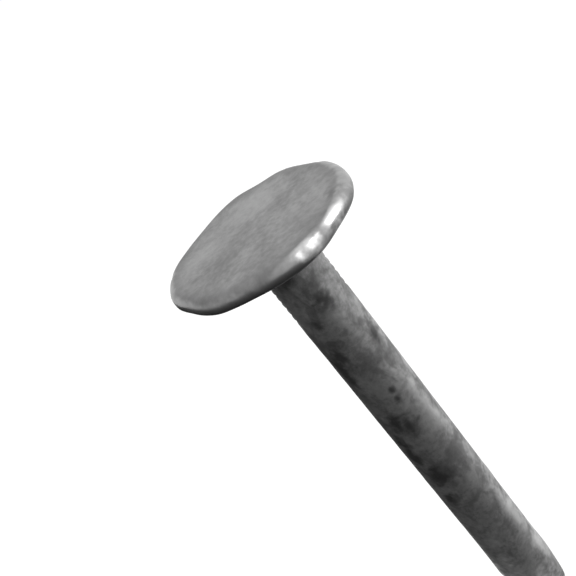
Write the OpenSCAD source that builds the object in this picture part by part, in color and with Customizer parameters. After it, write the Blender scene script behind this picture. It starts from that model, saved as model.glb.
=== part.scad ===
// A hot-dip galvanised roofing nail, or clout nail, with a wide flat head.
//
// The nail is one piece of steel wire. A header upsets one end into the head while gripping dies
// hold the wire just below it, and cutting dies pinch the other end into a four-sided point.
// Each module below is the stretch of wire that one of those steps forms, and the stretches meet
// face to face. Molten zinc then freezes on all of it, so every size but the bare wire's is
// taken over the zinc.
//
// +Z runs along the nail towards the head. The origin is on the shank's axis, in the plane of
// the head's underside, which is the face that bears on the felt or sheet.

/* [Wire] */
// Diameter of the bare steel wire
wire_d = 3.05; // [2.4:0.05:3.8]
// Thickness of the zinc coat on the wire
coat = 0.045; // [0.03:0.005:0.1]
// Length of the nail, from under its head to its tip
nail_l = 31.75; // [20:0.25:65]

/* [Head] */
// Diameter of the head
head_d = 10.3; // [7.5:0.1:13]
// Thickness of the head
head_h = 0.92; // [0.8:0.02:1.5]
// How far the upset head sits off the shank's axis, towards -X
head_offset = 0.4; // [0:0.05:0.6]
// Radius of the rounded edge between the struck face and the rim
face_edge_r = 0.55; // [0.2:0.05:0.6]
// Radius of the rounded edge between the rim and the underside
under_edge_r = 0.2; // [0.05:0.05:0.2]

/* [Neck] */
// Radius of the fillet from the underside of the head into the shank
fillet_r = 0.45; // [0.2:0.05:0.8]
// Length of smooth wire between the underside of the head and the grip marks
neck_l = 1.0; // [0.9:0.1:2]
// How far the neck reaches up into the head
root_h = 0.3; // [0.1:0.05:0.5]

/* [Grip marks] */
// Number of grip marks on each of the two sides that the dies held
mark_count = 8; // [4:2:16]
// Distance from one grip mark to the next
mark_pitch = 0.45; // [0.4:0.05:0.8]
// Depth of a grip mark
mark_depth = 0.06; // [0.03:0.01:0.1]
// Radius of the rounded hollow of a grip mark
mark_r = 0.15; // [0.12:0.01:0.18]

/* [Point] */
// Length of the four facets of the point
point_l = 5.4; // [3.5:0.1:6.5]
// Width of the small land that the pinched tip ends in
tip_w = 0.3; // [0.2:0.01:0.5]
// How far the tip sits off the shank's axis, as the cutting dies leave it
tip_offset = 0.45; // [0:0.05:0.6]
// Length of round wire above the facets that the cutting dies also hold
shoulder_l = 0.4; // [0.3:0.1:1]
// How far the round corners between the facets draw in from the top of the point to its tip
corner_draw = 0.3; // [0.1:0.05:0.5]
// Turn of the facets about the axis, away from the sides that carry the grip marks
facet_turn = 15; // [0:5:85]

/* [Hidden] */
$fn = 96;
GALVANISED_FACE = "#97999a";
GALVANISED_WIRE = "#7d7f80";
shank_r = wire_d / 2 + coat;
grip_bottom = -neck_l - mark_count * mark_pitch;
root_r = shank_r + fillet_r;
shank_bottom = -nail_l + point_l + shoulder_l;

// Where a facet lies across the axis at height z: from its side of the land to the round wire,
// which it leaves point_l above the tip. side is -1 or 1, and shift is the land's offset.
function facet_x(side, shift, z) =
    let (land = shift + side * tip_w / 2)
    land + (side * shank_r - land) * (z + nail_l) / point_l;

// Round wire between two heights
module wire(top, bottom) {
    translate([0, 0, bottom]) cylinder(h = top - bottom, r = shank_r);
}

// The upset head: a thin disc with rounded edges, a little off the axis, round the neck's root
module head() {
    half = head_d / 2;
    color(GALVANISED_FACE)
        difference() {
            translate([-head_offset, 0, 0])
                rotate_extrude() {
                    square([half - face_edge_r, head_h]);
                    square([half - under_edge_r, head_h - face_edge_r]);
                    translate([0, under_edge_r])
                        square([half, head_h - face_edge_r - under_edge_r]);
                    translate([half - face_edge_r, head_h - face_edge_r])
                        intersection() {
                            circle(face_edge_r);
                            square(face_edge_r);
                        }
                    translate([half - under_edge_r, under_edge_r]) circle(under_edge_r);
                }
            cylinder(h = 2 * root_h, r = root_r, center = true);
        }
}

// The wire just under the head, with its root in the head and the fillet between the two
module neck() {
    color(GALVANISED_WIRE) {
        wire(0, -neck_l);
        cylinder(h = root_h, r = root_r);
        rotate_extrude()
            difference() {
                translate([0, -fillet_r]) square([root_r, fillet_r]);
                translate([root_r, -fillet_r]) circle(fillet_r);
            }
    }
}

// The stretch that the gripping dies hold: rounded marks pressed across it on two opposite sides
module grip() {
    color(GALVANISED_WIRE)
        difference() {
            wire(-neck_l, grip_bottom);
            for (side = [-1, 1], i = [0 : mark_count - 1])
                translate([side * (shank_r - mark_depth + mark_r), 0, -neck_l - (i + 0.5) * mark_pitch])
                    rotate([90, 0, 0]) cylinder(h = 2 * shank_r, r = mark_r, center = true);
        }
}

// The plain round shank
module shank() {
    color(GALVANISED_WIRE) wire(grip_bottom, shank_bottom);
}

// One pair of opposite facets, as the wedge that they leave of the wire
module facet_pair(shift) {
    rotate([90, 0, 0])
        linear_extrude(height = 4 * shank_r, center = true)
            polygon([
                [facet_x(-1, shift, -nail_l), -nail_l],
                [facet_x(1, shift, -nail_l), -nail_l],
                [facet_x(1, shift, shank_bottom), shank_bottom],
                [facet_x(-1, shift, shank_bottom), shank_bottom]
            ]);
}

// The pinched end: the dies draw the round wire in a little, and two pairs of facets cut it down
// to a small square land
module point() {
    color(GALVANISED_WIRE)
        intersection() {
            translate([0, 0, -nail_l])
                cylinder(h = nail_l + shank_bottom, r1 = shank_r - corner_draw, r2 = shank_r);
            rotate([0, 0, facet_turn]) facet_pair(tip_offset);
            rotate([0, 0, facet_turn + 90]) facet_pair(0);
        }
}

head();
neck();
grip();
shank();
point();
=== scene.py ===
# %% [markdown]
# # A galvanised roofing nail
# One nail, 31.75 mm long: a wide thin head, a round shank and a four-sided point. It is made
# from one piece of steel wire and then dipped in molten zinc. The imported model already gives
# its sizes, so this lesson adds what the maker's tools and the zinc leave on it: an outline that
# is never quite round, soft dents and lumps, grip marks, and a mottled grey skin.
#
# Every length is in metres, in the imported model's own frame: +Z runs along the nail towards the
# head, and the origin is on the shank's axis in the plane of the head's underside.

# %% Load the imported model
import math

import bmesh
import bpy
from mathutils import Matrix, Vector, noise


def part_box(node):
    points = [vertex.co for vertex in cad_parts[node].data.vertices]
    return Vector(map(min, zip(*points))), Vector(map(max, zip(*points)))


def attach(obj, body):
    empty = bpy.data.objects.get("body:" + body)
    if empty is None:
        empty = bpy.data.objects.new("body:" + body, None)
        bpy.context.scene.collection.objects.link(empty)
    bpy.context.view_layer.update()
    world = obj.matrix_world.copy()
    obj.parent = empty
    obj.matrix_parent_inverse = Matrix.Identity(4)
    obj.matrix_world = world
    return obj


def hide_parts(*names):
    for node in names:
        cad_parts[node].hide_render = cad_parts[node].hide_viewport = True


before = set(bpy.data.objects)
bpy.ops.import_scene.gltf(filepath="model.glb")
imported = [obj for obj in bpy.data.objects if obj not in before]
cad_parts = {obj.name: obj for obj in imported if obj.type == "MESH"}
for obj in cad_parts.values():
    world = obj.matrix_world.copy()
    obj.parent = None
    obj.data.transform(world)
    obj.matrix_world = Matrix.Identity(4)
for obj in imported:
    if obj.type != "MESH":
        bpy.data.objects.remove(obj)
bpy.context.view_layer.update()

MM = 0.001
scene = bpy.context.scene
print("nodes:", sorted(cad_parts))

# %% [markdown]
# ## Sizes
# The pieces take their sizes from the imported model's boxes, so another length or head carries
# through to the finished nail. The few sizes that a box can't give, such as the radius of a
# rounded edge, are named here once.

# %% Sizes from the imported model
head_low, head_high = (Vector(corner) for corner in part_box("head"))
grip_low, grip_high = (Vector(corner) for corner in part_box("grip"))
shank_low, shank_high = (Vector(corner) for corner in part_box("shank"))
TIP_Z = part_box("point")[0][2]

HEAD_R = (head_high.y - head_low.y) / 2
HEAD_X = (head_high.x + head_low.x) / 2
HEAD_H = head_high.z
SHANK_R = (shank_high.y - shank_low.y) / 2
print(f"head: radius {HEAD_R / MM:.2f} mm, thickness {HEAD_H / MM:.2f} mm")
print(f"head: {HEAD_X / MM:.2f} mm off the shank's axis")
print(f"shank: radius {SHANK_R / MM:.2f} mm, and the tip is at {TIP_Z / MM:.2f} mm")

# %% Sizes that a box can't give
FACE_EDGE_R = 0.55 * MM
UNDER_EDGE_R = 0.20 * MM
FILLET_R = 0.45 * MM
MARK_COUNT = 8
MARK_DEPTH = 0.05 * MM
MARK_HALF_WIDTH = 0.13 * MM
POINT_L = 5.4 * MM
TIP_W = 0.3 * MM
TIP_OFFSET = 0.45 * MM
FACET_TURN = math.radians(15)

# %% [markdown]
# ## Camera
# The nail is seen leaning to the upper left, with its head tipped a little towards the viewer.
# Here the nail stands upright and the camera does the leaning: it looks down at 27 degrees and
# is rolled to the side. A 62.5 mm lens from about 49 mm away gives the shank its slight taper.

# %% Camera
CAMERA_AIM = Vector((-0.836, 0.0, -2.676)) * MM
CAMERA_ELEVATION = math.radians(26.71)
CAMERA_ROLL = math.radians(-38.8)
CAMERA_DISTANCE = 48.55 * MM
LENS = 62.5


def make_camera():
    data = bpy.data.cameras.new("camera")
    data.lens = LENS
    data.clip_start = 1 * MM
    data.clip_end = 20
    camera = bpy.data.objects.new("camera", data)
    scene.collection.objects.link(camera)
    tilt = Matrix.Rotation(math.pi / 2 - CAMERA_ELEVATION, 4, "X")
    back = Matrix.Translation((0, 0, CAMERA_DISTANCE))
    roll = Matrix.Rotation(CAMERA_ROLL, 4, "Z")
    camera.matrix_world = Matrix.Translation(CAMERA_AIM) @ tilt @ back @ roll
    scene.camera = camera
    print("camera at", [round(v / MM, 1) for v in camera.matrix_world.translation], "mm")


make_camera()

# %% [markdown]
# ## How uneven the zinc is
# Molten zinc drains down the nail and freezes while it moves, so the skin is never flat: it has
# slow swells a few millimetres long, smaller ripples, and here and there a lump or a run. Each
# of these is smooth noise at its own scale. Real height, moved into the mesh, catches light on
# edges and outlines as a bump texture can't.

# %% Smooth noise at a named scale
def ripple(place, wavelength, seed):
    """Smooth noise from -1 to 1. wavelength is in metres, and seed picks another pattern."""
    return noise.noise(place / wavelength + Vector((seed, -seed, 2.7 * seed)))


def smooth_step(value, low, high):
    share = min(max((value - low) / (high - low), 0.0), 1.0)
    return share * share * (3 - 2 * share)


def soft_min(a, b, softness):
    """The smaller of two lengths, with the corner where they meet rounded over softness."""
    blend = max(softness - abs(a - b), 0.0) / softness
    return min(a, b) - blend * blend * softness / 4


def zinc_height(place):
    """How far the zinc's skin stands out here, in metres."""
    run = Vector((place.x, place.y, place.z * 0.35))
    swell = 0.012 * ripple(place, 2.6 * MM, 3.1)
    wave = 0.007 * ripple(place, 0.9 * MM, 7.7)
    grain = 0.003 * ripple(place, 0.32 * MM, 1.9)
    lump = 0.075 * max(ripple(run, 0.8 * MM, 12.4) - 0.42, 0.0)
    return (swell + wave + grain + lump) * MM


# %% [markdown]
# ## A round form from its outline
# The head and the wire are both round forms that were worked afterwards. One outline of points,
# spun about an axis, gives rings of even faces that the later steps can push around. The spin
# needs its first and last rings merged, and its poles closed, or the shell has a seam.

# %% Spin an outline
def arc(centre_r, centre_z, radius, start, end, steps):
    """Points of a round stretch of the outline, as (distance from the axis, height)."""
    turns = [math.radians(start + (end - start) * i / steps) for i in range(steps + 1)]
    return [(centre_r + radius * math.cos(t), centre_z + radius * math.sin(t)) for t in turns]


def straight(start, end, spacing):
    """Points of a straight stretch of the outline, without its end."""
    steps = max(round(math.dist(start, end) / spacing), 1)
    return [
        tuple(a + (b - a) * i / steps for a, b in zip(start, end))
        for i in range(steps)
    ]


def spun(outline, axis_x, segments):
    bm = bmesh.new()
    verts = [bm.verts.new((axis_x + r, 0, z)) for r, z in outline]
    edges = [bm.edges.new(pair) for pair in zip(verts, verts[1:])]
    bmesh.ops.spin(
        bm, geom=verts + edges, cent=(axis_x, 0, 0), axis=(0, 0, 1),
        angle=2 * math.pi, steps=segments, use_merge=True,
    )
    bmesh.ops.remove_doubles(bm, verts=bm.verts, dist=0.001 * MM)
    bmesh.ops.recalc_face_normals(bm, faces=bm.faces)
    return bm


def finished_piece(bm, name, body="root", replaced=()):
    """Makes the object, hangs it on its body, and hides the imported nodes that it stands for."""
    for face in bm.faces:
        face.smooth = True
    mesh = bpy.data.meshes.new(name)
    bm.to_mesh(mesh)
    bm.free()
    piece = bpy.data.objects.new(name, mesh)
    scene.collection.objects.link(piece)
    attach(piece, body)
    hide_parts(*replaced)
    print(f"{name}: {len(mesh.vertices)} vertices, {len(mesh.polygons)} faces")
    return piece


# %% [markdown]
# ## The head
# The header strikes the wire's end and spreads it into a disc. Nothing holds the disc's rim, so
# the metal runs out unevenly: the outline has flats and blunt corners, and the rim is rounder
# where it ran farther. It could be a cylinder with a bevel, but the flats need rings that reach
# across the face, so the outline is spun and then pressed in at each flat.

# %% Head: the spun blank
HEAD_SEGMENTS = 300
RING_SPACING = 0.11 * MM
# Height kept free above the struck face, which the skin's swells then fill
FACE_ALLOWANCE = 0.025 * MM


def head_outline():
    top = HEAD_H - FACE_ALLOWANCE
    face_edge = (HEAD_R - FACE_EDGE_R, top)
    face = straight((0, top), face_edge, RING_SPACING)
    over = arc(face_edge[0], top - FACE_EDGE_R, FACE_EDGE_R, 90, 0, 10)
    under = arc(HEAD_R - UNDER_EDGE_R, UNDER_EDGE_R, UNDER_EDGE_R, 0, -90, 5)
    base = straight((HEAD_R - UNDER_EDGE_R, 0), (0, 0), 2 * RING_SPACING)
    return face + over + under + base[1:] + [(0, 0)]


# %% Head: flats of the rim and dents of the face
# Each flat of the outline: its middle and its half width in degrees about the head's centre,
# and how far it is pressed in, as a share of the head's radius
FLATS = [
    (32, 17, 0.028),
    (69, 17, 0.046),
    (121, 38, 0.076),
    (201, 28, 0.058),
    (244, 46, 0.088),
    (308, 23, 0.028),
]
# Each shallow dent of the struck face: its place from the head's centre, its radius and its
# depth, in millimetres
DENTS = [
    (-2.6, 0.9, 0.9, 0.020),
    (1.4, -2.2, 0.7, 0.018),
    (2.4, 1.6, 0.8, 0.016),
    (-0.6, -1.2, 0.5, 0.014),
    (0.5, 2.9, 0.6, 0.016),
]
# Each nick of the rim's upper edge, where another nail struck it: its direction and its half
# width in degrees, and its depth in millimetres. A negative depth is a place that stands out.
NICKS = [
    (308, 15, -0.06),
    (281.5, 4.5, 0.06),
    (338, 3, 0.03),
    (252, 4, 0.05),
    (158, 5, 0.05),
    (20, 4, 0.04),
]
# Where the rim's unevenness begins and where it is whole, as shares of the head's radius, and
# how much the rim strays between its flats, also as a share
UNEVEN_START = 0.55
UNEVEN_FULL = 0.95
RIM_STRAY = 0.004


def flat_share(azimuth):
    """How much of the full radius the outline keeps in this direction."""
    share = 1.0
    for middle, half_width, depth in FLATS:
        away = (math.degrees(azimuth) - middle + 180) % 360 - 180
        if abs(away) < half_width:
            share -= depth * math.cos(math.pi / 2 * away / half_width) ** 2
    return share


def nick_depth(azimuth, height):
    """How far the nicks press the rim's upper edge in, in metres."""
    depth = 0.0
    for middle, half_width, deepest in NICKS:
        away = (math.degrees(azimuth) - middle + 180) % 360 - 180
        if abs(away) < half_width:
            depth += deepest * math.cos(math.pi / 2 * away / half_width) ** 2
    return depth * MM * smooth_step(height, 0.25 * HEAD_H, 0.75 * HEAD_H)


def dent_depth(x, y):
    depth = 0.0
    for dent_x, dent_y, radius, deepest in DENTS:
        away = math.dist((x / MM, y / MM), (dent_x, dent_y)) / radius
        if away < 1:
            depth += deepest * (1 - away * away) ** 2
    return depth * MM


def work_head(bm):
    centre = Vector((HEAD_X, 0, 0))
    for vert in bm.verts:
        flat = Vector((vert.co.x, vert.co.y, 0)) - centre
        reach = flat.length / HEAD_R
        azimuth = math.atan2(flat.y, flat.x)
        rim = smooth_step(reach, UNEVEN_START, UNEVEN_FULL)
        flat *= 1 - (1 - flat_share(azimuth)) * rim
        flat *= 1 - RIM_STRAY * rim * (1 + ripple(vert.co, 1.1 * MM, 5.3))
        flat *= 1 - rim * nick_depth(azimuth, vert.co.z) / HEAD_R
        on_face = smooth_step(vert.co.z, 0.3 * HEAD_H, 0.9 * HEAD_H)
        place = centre + flat
        lift = zinc_height(Vector((place.x, place.y, vert.co.z)))
        height = vert.co.z + on_face * (min(lift, FACE_ALLOWANCE) - dent_depth(flat.x, flat.y))
        vert.co = Vector((place.x, place.y, height))


head_bm = spun(head_outline(), HEAD_X, HEAD_SEGMENTS)
work_head(head_bm)
head = finished_piece(head_bm, "nail_head", replaced=["head"])

# %% [markdown]
# ## The wire
# Neck, grip, shank and point are one length of wire, so one mesh is spun for all of it. It is
# worked as a whole, and only then cut where each forming step ends, so the skin runs on across
# each cut without a step.

# %% Wire: the spun blank
WIRE_SEGMENTS = 128
WIRE_RING_SPACING = 0.085 * MM
# The fillet's top edge is sunk this far into the head, so no gap shows round it
FILLET_SINK = 0.02 * MM
# Height over which the tip is rounded, and the share of its width that stays flat
TIP_ROUND = 0.12 * MM
TIP_FLAT = 0.35


def wire_outline():
    root_r = SHANK_R + FILLET_R
    fillet = arc(root_r, -FILLET_R, FILLET_R, 90, 180, 9)
    side = straight((SHANK_R, -FILLET_R), (SHANK_R, TIP_Z + TIP_ROUND), WIRE_RING_SPACING)
    rounded = arc(0, 0, 1, 0, 90, 6)
    tip = [
        (SHANK_R * (TIP_FLAT + (1 - TIP_FLAT) * across), TIP_Z + TIP_ROUND * (1 - down))
        for across, down in rounded
    ]
    return [(0, FILLET_SINK), (root_r, FILLET_SINK)] + fillet + side[1:] + tip + [(0, TIP_Z)]


# %% [markdown]
# The point is pinched by two pairs of dies, which leave four facets. Here each ring of the wire
# is drawn in to the nearer of the round wire and the facets. The dies close a little off the
# axis, so each ring's middle also moves towards where the tip ends up, and the zinc rounds the
# corners between facets.

# %% Wire: the pinched point
SHOULDER_Z = TIP_Z + POINT_L
FACET_SOFTNESS = 0.12 * MM
TIP_SHIFT = Vector((math.cos(FACET_TURN), math.sin(FACET_TURN), 0)) * TIP_OFFSET
# How much the pinched metal swells just above the facets, and over what length
SWELL = 0.03
SWELL_LENGTH = 1.2 * MM


def facet_reach(share):
    """How far the facets lie from the ring's middle. share is 0 at the shoulder, 1 at the tip."""
    closed = share if share < 0 else share**1.1
    return SHANK_R - (SHANK_R - TIP_W / 2) * closed


def pinched(place):
    """Where a point of the round wire goes when the tip is pinched."""
    share = (SHOULDER_Z - place.z) / POINT_L
    azimuth = math.atan2(place.y, place.x)
    outward = Vector((math.cos(azimuth), math.sin(azimuth), 0))
    reach = math.hypot(place.x, place.y) / SHANK_R
    swell = SWELL * math.exp(-(((place.z - SHOULDER_Z) / SWELL_LENGTH) ** 2))
    round_r = SHANK_R * (1 + swell * math.cos(azimuth) ** 2)
    middle = TIP_SHIFT * max(share, 0)
    across = azimuth - FACET_TURN
    aside = middle.length * math.sin(across)
    to_round = math.sqrt(round_r**2 - aside**2) - middle.length * math.cos(across)
    quarter = (across + math.pi / 4) % (math.pi / 2) - math.pi / 4
    to_facet = facet_reach(share) / math.cos(quarter)
    radius = soft_min(to_round, to_facet, FACET_SOFTNESS)
    return middle + outward * radius * reach + Vector((0, 0, place.z))


# %% [markdown]
# Just below the head the gripping dies leave a ladder of small marks on two opposite sides. The
# zinc half fills them, so they are shallow and soft.

# %% Wire: grip marks and the zinc's skin
MARK_PITCH = (grip_high.z - grip_low.z) / MARK_COUNT
# Where on its side of the wire a mark begins and where it is whole, as shares of the radius
MARK_START = 0.90
MARK_FULL = 0.985
# Length above the tip over which the zinc's skin grows to its full height
TIP_FADE = 0.4 * MM


def mark_depth(place):
    """How deep a grip mark is pressed in at this place on the wire."""
    if not grip_low.z < place.z < grip_high.z:
        return 0.0
    from_mark = (grip_high.z - place.z) % MARK_PITCH - MARK_PITCH / 2
    across = abs(place.x) / SHANK_R
    side = smooth_step(across, MARK_START, MARK_FULL)
    return MARK_DEPTH * side * math.exp(-((from_mark / MARK_HALF_WIDTH) ** 2))


def work_wire(bm):
    for vert in bm.verts:
        if vert.co.z > -FILLET_R:
            continue
        place = pinched(vert.co)
        outward = Vector((vert.co.x, vert.co.y, 0)) / SHANK_R
        fade = smooth_step(-vert.co.z, FILLET_R, 2 * FILLET_R)
        fade *= smooth_step(vert.co.z - TIP_Z, 0, TIP_FADE)
        push = zinc_height(vert.co) * fade - mark_depth(vert.co)
        vert.co = place + outward * push


wire_bm = spun(wire_outline(), 0, WIRE_SEGMENTS)
work_wire(wire_bm)
print("wire blank:", len(wire_bm.verts), "vertices")

# %% Wire: cut where each forming step ends
# Width of the thin ring beside each cut, which keeps the shading the same on both its sides
CUT_RING = 0.004 * MM


def stretch(source, high, low):
    """A closed copy of the wire between two heights. None leaves that end as it is."""
    bm = source.copy()
    for height, side in ((high, 1), (low, -1)):
        if height is None:
            continue
        everything = bm.verts[:] + bm.edges[:] + bm.faces[:]
        bmesh.ops.bisect_plane(
            bm, geom=everything, dist=1e-9,
            plane_co=(0, 0, height - side * CUT_RING), plane_no=(0, 0, side),
        )
        everything = bm.verts[:] + bm.edges[:] + bm.faces[:]
        bmesh.ops.bisect_plane(
            bm, geom=everything, dist=1e-9,
            plane_co=(0, 0, height), plane_no=(0, 0, side), clear_outer=True,
        )
        rim = [edge for edge in bm.edges if edge.is_boundary]
        bmesh.ops.holes_fill(bm, edges=rim, sides=0)
        for edge in rim:
            edge.smooth = False
    bmesh.ops.recalc_face_normals(bm, faces=bm.faces)
    return bm


CUTS = {
    "neck": (None, grip_high.z),
    "grip": (grip_high.z, shank_high.z),
    "shank": (shank_high.z, shank_low.z),
    "point": (shank_low.z, None),
}
wire_pieces = [
    finished_piece(
        stretch(wire_bm, *ends), f"nail_{node}", replaced=[node]
    )
    for node, ends in CUTS.items()
]
wire_bm.free()

# %% [markdown]
# ## Small helpers for materials
# A material is a tree of nodes. One helper adds a node and fills or links its inputs, and a
# second does sums. Patterns are measured in millimetres of the object's own coordinates, so a
# patch keeps its real size and stays put when the nail turns.

# %% Add a node
def new_node(tree, kind, inputs=None, **settings):
    """Adds a node. inputs gives each socket a value, or another node's socket to link."""
    node = tree.nodes.new("ShaderNode" + kind)
    for name, value in settings.items():
        setattr(node, name, value)
    for socket, value in (inputs or {}).items():
        if isinstance(value, bpy.types.NodeSocket):
            tree.links.new(value, node.inputs[socket])
        else:
            node.inputs[socket].default_value = value
    return node


def sum_of(tree, operation, *values, clamp=False):
    node = new_node(tree, "Math", dict(enumerate(values)), operation=operation, use_clamp=clamp)
    return node.outputs[0]


def vector_of(tree, operation, **inputs):
    """A Vector Math node. a and b are its two vectors, and scale its factor."""
    sockets = {{"a": 0, "b": 1, "scale": "Scale"}[name]: value for name, value in inputs.items()}
    return new_node(tree, "VectorMath", sockets, operation=operation).outputs


def mixed(tree, share, first, second):
    node = new_node(tree, "Mix", {0: share, 6: first, 7: second}, data_type="RGBA")
    return node.outputs[2]


def ranged(tree, value, low, high, to_low=0.0, to_high=1.0):
    """Maps low..high to to_low..to_high with soft ends, and clamps outside."""
    node = new_node(
        tree, "MapRange",
        {"Value": value, "From Min": low, "From Max": high, "To Min": to_low, "To Max": to_high},
        interpolation_type="SMOOTHSTEP",
    )
    return node.outputs["Result"]


def noise_of(tree, place, per_mm, detail, roughness, distortion=0.0):
    """Smooth noise about 0.5, with per_mm waves in a millimetre."""
    node = new_node(
        tree, "TexNoise",
        {"Vector": place, "Scale": per_mm, "Detail": detail, "Roughness": roughness,
         "Distortion": distortion},
    )
    return node.outputs["Fac"]


def grey(value):
    return (value, value, value, 1.0)


def tinted(tree, colour, mask, strength, tone):
    """The colour, drawn towards a grey of this tone by the mask times the strength."""
    return mixed(tree, sum_of(tree, "MULTIPLY", mask, strength), colour, grey(tone))


# %% A node group with named sockets
def new_group(name, inputs, outputs):
    """inputs and outputs are (name, socket kind, default). Returns the tree and its two ends."""
    tree = bpy.data.node_groups.new(name, "ShaderNodeTree")
    for direction, sockets in (("INPUT", inputs), ("OUTPUT", outputs)):
        for label, kind, default in sockets:
            socket = tree.interface.new_socket(
                label, in_out=direction, socket_type="NodeSocket" + kind
            )
            if default is not None:
                socket.default_value = default
    ends = tree.nodes.new("NodeGroupInput").outputs, tree.nodes.new("NodeGroupOutput").inputs
    return tree, *ends


def use_group(tree, group, **inputs):
    node = new_node(tree, "Group", node_tree=group)
    for label, value in inputs.items():
        socket = node.inputs[label.replace("_", " ")]
        if isinstance(value, bpy.types.NodeSocket):
            tree.links.new(value, socket)
        else:
            socket.default_value = value
    return node.outputs


# %% [markdown]
# ## Zinc's own pattern
# Hot-dip zinc freezes in cloudy patches a few millimetres wide, with a fine grain inside them.
# The tumbling that nails get in their drum adds a speckle of tiny rubbed spots. An image of zinc
# could be mapped on, but noise at three scales needs no seams and holds up close to.

# %% Group: zinc mottle
# How much each scale counts in the tone, and how much the crystals add to the grain's height
PATCH_SHARE = 0.50
GRAIN_SHARE = 0.32
CRYSTAL_SHARE = 0.22
CRYSTAL_HEIGHT = 0.4


def make_mottle():
    tree, start, end = new_group(
        "zinc_mottle",
        [
            ("Place", "Vector", None),
            ("Patches per mm", "Float", 0.6),
            ("Grains per mm", "Float", 4.0),
        ],
        [("Tone", "Float", None), ("Height", "Float", None)],
    )
    place = start["Place"]
    cloud = noise_of(tree, place, start["Patches per mm"], 4.0, 0.55, 0.15)
    patch = ranged(tree, cloud, 0.33, 0.67)
    grain = ranged(tree, noise_of(tree, place, start["Grains per mm"], 3.0, 0.65), 0.30, 0.70)
    crystal = new_node(
        tree, "TexVoronoi", {"Vector": place, "Scale": start["Grains per mm"]}, feature="SMOOTH_F1"
    ).outputs["Distance"]
    grainy = sum_of(tree, "MULTIPLY", grain, GRAIN_SHARE)
    cloudy = sum_of(tree, "MULTIPLY_ADD", patch, PATCH_SHARE, grainy)
    tone = sum_of(tree, "MULTIPLY_ADD", crystal, CRYSTAL_SHARE, cloudy, clamp=True)
    tree.links.new(tone, end["Tone"])
    height = sum_of(tree, "MULTIPLY_ADD", crystal, CRYSTAL_HEIGHT, grain)
    tree.links.new(height, end["Height"])
    return tree


MOTTLE = make_mottle()

# %% [markdown]
# Where the zinc has dulled or grown dirty it goes dark, and where nails have worn against each
# other it goes bright. The same patches also serve as painted shade and painted highlights. All are
# ragged patches: a soft ball about one place on the nail, with its edge frayed by noise.

# %% Group: one ragged patch
# How far noise frays a patch, and where it is whole and where it ends, all in reaches
FRAY = 2.6
PATCH_WHOLE = 0.1
PATCH_END = 1.4


def make_patch():
    tree, start, end = new_group(
        "zinc_patch",
        [("Place", "Vector", None), ("Centre", "Vector", None), ("Reach", "Vector", (1, 1, 1))],
        [("Mask", "Float", None)],
    )
    away = vector_of(tree, "SUBTRACT", a=start["Place"], b=start["Centre"])[0]
    scaled = vector_of(tree, "DIVIDE", a=away, b=start["Reach"])[0]
    distance = vector_of(tree, "LENGTH", a=scaled)["Value"]
    fray = sum_of(tree, "SUBTRACT", noise_of(tree, start["Place"], 1.6, 3.0, 0.55, 0.3), 0.5)
    frayed = sum_of(tree, "MULTIPLY_ADD", fray, FRAY, distance)
    tree.links.new(ranged(tree, frayed, PATCH_WHOLE, PATCH_END, 1.0, 0.0), end["Mask"])
    return tree


PATCH = make_patch()


def around(direction, distance):
    """x and y of a place at this direction in degrees and distance from an upright axis."""
    turn = math.radians(direction)
    return distance * math.cos(turn), distance * math.sin(turn)


def patches(tree, place, spots):
    """The strongest of several ragged patches, each a centre and a reach in millimetres."""
    whole = 0.0
    for centre, reach in spots:
        mask = use_group(tree, PATCH, Place=place, Centre=centre, Reach=reach)["Mask"]
        whole = sum_of(tree, "MAXIMUM", whole, mask)
    return whole


# %% [markdown]
# ## The two finishes
# The head's face is beaten flat and even. The wire keeps more of the zinc as it froze, so it is
# darker and more patchy. Both are the same metal: mostly metallic, and rough enough to blur
# what they reflect.

# %% Shared: zinc from its pattern
METALLIC = 0.75
# Depth that the grain's bump stands for
GRAIN_DEPTH = 0.008 * MM


def zinc(name, pattern, tones, roughness, bump):
    """Returns the material, its tree, the place in millimetres, the colour and the roughness."""
    material = bpy.data.materials.new(name)
    material.use_nodes = True
    tree = material.node_tree
    shader = tree.nodes["Principled BSDF"]
    shader.inputs["Metallic"].default_value = METALLIC
    coordinates = new_node(tree, "TexCoord").outputs["Object"]
    place = vector_of(tree, "SCALE", a=coordinates, scale=1 / MM)[0]
    mottle = use_group(
        tree, MOTTLE, Place=place, Patches_per_mm=pattern[0], Grains_per_mm=pattern[1]
    )
    colour = mixed(tree, mottle["Tone"], grey(tones[0]), grey(tones[1]))
    rough = ranged(tree, mottle["Tone"], 0.1, 0.9, roughness[0], roughness[1])
    normal = new_node(
        tree, "Bump", {"Height": mottle["Height"], "Strength": bump, "Distance": GRAIN_DEPTH}
    ).outputs["Normal"]
    tree.links.new(normal, shader.inputs["Normal"])
    return material, tree, place, colour, rough


def finish_zinc(tree, colour, rough):
    shader = tree.nodes["Principled BSDF"]
    tree.links.new(colour, shader.inputs["Base Color"])
    tree.links.new(rough, shader.inputs["Roughness"])
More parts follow.
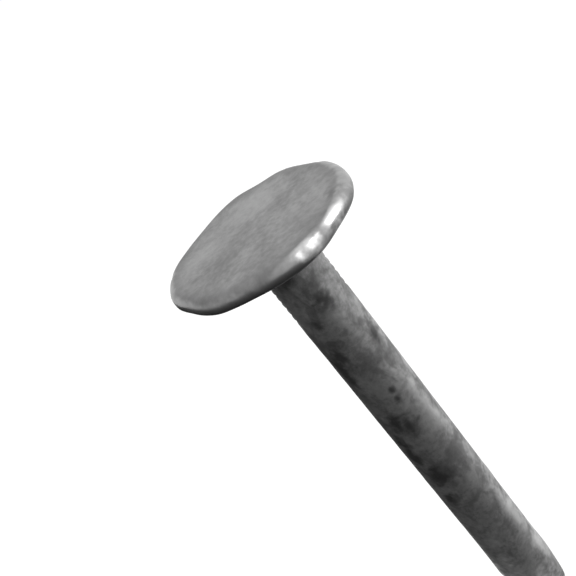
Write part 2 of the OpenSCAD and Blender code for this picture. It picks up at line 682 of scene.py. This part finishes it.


# %% [markdown]
# The wire's patches are placed one by one: dark ones mostly along the side away from the lamps,
# which are darker zinc and painted shade, and bright ones along the lit side, which are worn zinc
# and a painted sheen.

# %% Finish of the wire
# Each patch: its direction round the wire in degrees, how far it is below the head, and how far
# it reaches across and along the wire, in millimetres
# Darker zinc, mostly on the side away from the lamps, where it also deepens the shade: partly
# painted shade
WIRE_DULL_AND_SHADE = [
    (240, 1.5, 0.6, 0.6),
    (275, 3.5, 0.5, 0.7),
    (235, 4.5, 0.4, 0.5),
    (230, 7.0, 0.5, 1.2),
    (215, 8.0, 0.4, 1.5),
    (320, 7.0, 0.4, 0.7),
    (270, 10.0, 0.2, 0.3),
    (270, 10.7, 0.2, 0.3),
    (235, 12.0, 0.6, 0.9),
    (255, 12.5, 0.6, 1.0),
    (215, 14.5, 0.4, 2.0),
    (235, 16.5, 0.8, 0.9),
    (225, 18.5, 0.4, 0.7),
]
# Worn zinc on the lit side, which also brightens that side: partly a painted sheen
WIRE_RUBBED_AND_SHEEN = [
    (315, 10.7, 0.3, 0.4),
    (310, 12.5, 0.5, 1.6),
    (320, 20.5, 0.4, 0.7),
    (315, 22.0, 0.6, 1.6),
    (325, 25.0, 0.5, 1.0),
]


def on_wire(spots):
    """The patches' centres and reaches, from their places on the wire."""
    return [
        ((*around(direction, SHANK_R / MM), -below), (across, across, along))
        for direction, below, across, along in spots
    ]


def make_wire_zinc():
    material, tree, place, colour, rough = zinc(
        "galvanised_wire", pattern=(0.9, 3.6), tones=(0.12, 0.38), roughness=(0.58, 0.44), bump=0.4
    )
    along = vector_of(tree, "MULTIPLY", a=place, b=(1, 1, 0.6))[0]
    blotch = ranged(tree, noise_of(tree, along, 0.9, 4.0, 0.6, 0.5), 0.46, 0.62)
    colour = tinted(tree, colour, blotch, strength=0.60, tone=0.10)
    # Painted shade and painted sheen: the dark patches deepen the shaded side, the bright ones
    # brighten the lit side
    darkened = patches(tree, place, on_wire(WIRE_DULL_AND_SHADE))
    brightened = patches(tree, place, on_wire(WIRE_RUBBED_AND_SHEEN))
    colour = tinted(tree, colour, brightened, strength=0.55, tone=0.50)
    colour = tinted(tree, colour, darkened, strength=0.85, tone=0.04)
    rough = sum_of(tree, "MULTIPLY_ADD", brightened, -0.12, rough)
    finish_zinc(tree, colour, rough)
    return material


wire_zinc = make_wire_zinc()
for piece in wire_pieces:
    piece.data.materials.append(wire_zinc)
print("wire:", len(WIRE_DULL_AND_SHADE), "dull patches and", len(WIRE_RUBBED_AND_SHEEN), "rubbed ones")

# %% [markdown]
# On the head the rim is what other nails rub against, so it is brighter and smoother than the face,
# and a ring just inside it is darkened as painted shade. The rim is found by its distance from the
# head's own axis. The lower side of the head and its rim is darkened as painted shade, and a few
# patches, placed one by one as on the wire, are made brighter or darker: on the rim a painted
# highlight where the lamps' highlights fall and painted shade between them, and on the face lighter
# and darker zinc, one darker patch being painted shade beside the rim's highlights.

# %% Finish of the head
# Each patch: its direction from the head's centre in degrees, its distance from the centre as a
# share of the head's radius, its height as a share of the head's, and its reach in millimetres
# Painted highlight: the rim's colour is brightened where the lamps' highlights fall, which widens
# them
RIM_PAINTED_HIGHLIGHT = [
    (308, 0.98, 0.85, 0.85),
    (285, 0.98, 0.85, 0.75),
]
# The rim is rougher and darker between its brightened places, which breaks up the lamps' highlight
# along its edge; the darkening is painted shade
RIM_DULL_AND_SHADE = [
    (327, 0.96, 0.65, 0.80),
    (298, 0.96, 0.65, 0.45),
]
FACE_RUBBED = [
    (70, 0.55, 1.0, 1.4),
    (150, 0.50, 1.0, 1.2),
]
# The first darker face patch is painted shade beside the rim's highlights; the others are darker
# zinc
FACE_DULL_AND_SHADE = [
    (300, 0.75, 1.0, 2.0),
    (205, 0.70, 1.0, 2.0),
    (5, 0.65, 1.0, 1.4),
]
# How far every patch of the head reaches up and down, in millimetres
HEAD_PATCH_DEPTH = 0.55
# In millimetres: the worn rim's width, the width over which it begins, how far its border strays,
# and the width of the darkened ring just inside it, which is painted shade
RIM_WIDTH = 0.55
RIM_BLEND = 0.25
RIM_WAVER = 0.5
SHADE_RING_WIDTH = 0.8
# Heights in millimetres between which the painted shade on the lower side of the head and its rim
# fades out
UNDERSIDE_SHADE_START = 0.10
UNDERSIDE_SHADE_END = 0.60


def on_head(spots):
    """The patches' centres and reaches, from their places on the head."""
    found = []
    for direction, share, high, across in spots:
        x, y = around(direction, share * HEAD_R / MM)
        centre = (HEAD_X / MM + x, y, high * HEAD_H / MM)
        found.append((centre, (across, across, HEAD_PATCH_DEPTH)))
    return found


def make_head_zinc():
    material, tree, place, colour, rough = zinc(
        "galvanised_head", pattern=(0.5, 3.2), tones=(0.19, 0.34), roughness=(0.56, 0.46), bump=0.25
    )
    from_centre = vector_of(tree, "SUBTRACT", a=place, b=(HEAD_X / MM, 0, 0))[0]
    flat = vector_of(tree, "MULTIPLY", a=from_centre, b=(1, 1, 0))[0]
    reach = vector_of(tree, "LENGTH", a=flat)["Value"]
    waver = sum_of(tree, "SUBTRACT", noise_of(tree, place, 0.8, 3.0, 0.5), 0.5)
    reach = sum_of(tree, "MULTIPLY_ADD", waver, RIM_WAVER, reach)
    rim_start = HEAD_R / MM - RIM_WIDTH
    near_rim = ranged(tree, reach, rim_start - SHADE_RING_WIDTH, rim_start)
    rim = ranged(tree, reach, rim_start, rim_start + RIM_BLEND)
    # Painted shade: a ring just inside the rim is darkened
    ring_shade = sum_of(tree, "SUBTRACT", near_rim, rim, clamp=True)
    colour = tinted(tree, colour, ring_shade, strength=0.45, tone=0.15)
    brightened = patches(tree, place, on_head(FACE_RUBBED))
    colour = tinted(tree, colour, brightened, strength=0.35, tone=0.40)
    # The first of these darker patches is painted shade beside the rim's highlights
    darkened = patches(tree, place, on_head(FACE_DULL_AND_SHADE))
    colour = tinted(tree, colour, darkened, strength=0.35, tone=0.15)
    colour = tinted(tree, colour, rim, strength=0.25, tone=0.42)
    rough = sum_of(tree, "MULTIPLY_ADD", rim, -0.13, rough)
    height = new_node(tree, "SeparateXYZ", {"Vector": place}).outputs["Z"]
    # Painted shade: the lower side of the head and its rim is darkened
    low = ranged(tree, height, UNDERSIDE_SHADE_START, UNDERSIDE_SHADE_END, 1.0, 0.0)
    colour = tinted(tree, colour, low, strength=0.75, tone=0.06)
    # Painted highlight: the rim is brightened where the lamps' highlights fall
    rim_painted_highlight = sum_of(tree, "MULTIPLY", patches(tree, place, on_head(RIM_PAINTED_HIGHLIGHT)), rim)
    colour = tinted(tree, colour, rim_painted_highlight, strength=0.65, tone=0.75)
    # Painted shade: the rim is darkened between its highlights, and also made rougher
    rim_dull_and_shade = patches(tree, place, on_head(RIM_DULL_AND_SHADE))
    colour = tinted(tree, colour, rim_dull_and_shade, strength=0.50, tone=0.12)
    rough = sum_of(tree, "MULTIPLY_ADD", rim_dull_and_shade, 0.30, rough)
    finish_zinc(tree, colour, rough)
    return material


head.data.materials.append(make_head_zinc())

# %% [markdown]
# ## Studio
# A white floor, a tall soft lamp on the right with a weaker one nearer the camera, and three
# black cards: on the left, in front, and farther off on the right. Metal shows what is around
# it: without the cards the shank would mirror white floor all round and lose its shape. Only the
# metal's reflections see the cards.

# %% Floor
FLOOR_SIZE = 4.0
# Share of the floor's white that is its own. The lamps' light adds the rest and the shadow.
FLOOR_OWN_WHITE = 0.91
FLOOR_GREY = 0.25


def sheet(name, width, depth, place):
    bm = bmesh.new()
    bmesh.ops.create_grid(bm, x_segments=1, y_segments=1, size=0.5)
    bmesh.ops.scale(bm, verts=bm.verts, vec=(width, depth, 1))
    bmesh.ops.translate(bm, verts=bm.verts, vec=place)
    mesh = bpy.data.meshes.new(name)
    bm.to_mesh(mesh)
    bm.free()
    obj = bpy.data.objects.new(name, mesh)
    scene.collection.objects.link(obj)
    return obj


def plain_material(name, value):
    material = bpy.data.materials.new(name)
    material.use_nodes = True
    shader = material.node_tree.nodes["Principled BSDF"]
    shader.inputs["Base Color"].default_value = grey(value)
    shader.inputs["Roughness"].default_value = 0.9
    shader.inputs["Specular IOR Level"].default_value = 0.0
    return material, material.node_tree, shader


def seen_directly(tree):
    """1 for rays from the camera, a mirror or glass, and 0 for the light that surfaces scatter."""
    path = new_node(tree, "LightPath").outputs
    mirrored = sum_of(tree, "MAXIMUM", path["Is Glossy Ray"], path["Is Transmission Ray"])
    return sum_of(tree, "MAXIMUM", path["Is Camera Ray"], mirrored)


floor = sheet("floor", FLOOR_SIZE, FLOOR_SIZE, (0, 0, TIP_Z))
floor_paper, floor_tree, floor_shader = plain_material("floor_paper", FLOOR_GREY)
floor_shader.inputs["Emission Color"].default_value = grey(1.0)
floor_white = sum_of(floor_tree, "MULTIPLY", seen_directly(floor_tree), FLOOR_OWN_WHITE)
floor_tree.links.new(floor_white, floor_shader.inputs["Emission Strength"])
floor.data.materials.append(floor_paper)

# %% Black cards
CARD_HEIGHT = 0.5 * MM
CARD_GREY = 0.04
card_black = plain_material("card_black", CARD_GREY)[0]


def black_card(name, low, high):
    """A card between two corners (x, y), just above the floor."""
    middle = ((low[0] + high[0]) / 2, (low[1] + high[1]) / 2, TIP_Z + CARD_HEIGHT)
    card = sheet(name, high[0] - low[0], high[1] - low[1], middle)
    card.data.materials.append(card_black)
    card.visible_camera = False
    card.visible_shadow = False
    card.visible_diffuse = False


black_card("card_left", (-0.40, -0.40), (-0.006, 0.10))
black_card("card_front", (-0.006, -0.40), (0.030, -0.004))
black_card("card_right", (0.050, -0.08), (0.120, 0.008))

# %% Lamps and room
LAMP_DISTANCE = 0.25
LAMP_WIDTH = 0.035
LAMP_HEIGHT = 0.30
# Each lamp: its direction from the nail, and its level, which is the light that a white surface
# facing it sends back, where 1 is full white
LAMPS = {
    "lamp_right": ((0.897, -0.174, 0.407), 1.05),
    "lamp_front_right": ((0.460, -0.700, 0.546), 0.28),
}
# How bright the white room is as a light, where what it shows directly is 1
ROOM_LEVEL = 0.40


def tall_lamp(name, direction, level):
    data = bpy.data.lights.new(name, "AREA")
    data.shape = "RECTANGLE"
    data.size = LAMP_WIDTH
    data.size_y = LAMP_HEIGHT
    data.energy = level * math.pi**2 * LAMP_DISTANCE**2
    lamp = bpy.data.objects.new(name, data)
    scene.collection.objects.link(lamp)
    lamp.location = Vector(direction).normalized() * LAMP_DISTANCE
    lamp.rotation_mode = "QUATERNION"
    lamp.rotation_quaternion = Vector(direction).to_track_quat("Z", "Y")


for lamp_name, (direction, level) in LAMPS.items():
    tall_lamp(lamp_name, direction, level)

room = bpy.data.worlds.new("room")
scene.world = room
room.use_nodes = True
room_tree = room.node_tree
room_shade = room_tree.nodes["Background"]
room_shade.inputs["Color"].default_value = grey(1.0)
room_level = ranged(room_tree, seen_directly(room_tree), 0.0, 1.0, ROOM_LEVEL, 1.0)
room_tree.links.new(room_level, room_shade.inputs["Strength"])

# %% Finish
scene.view_settings.view_transform = "Standard"
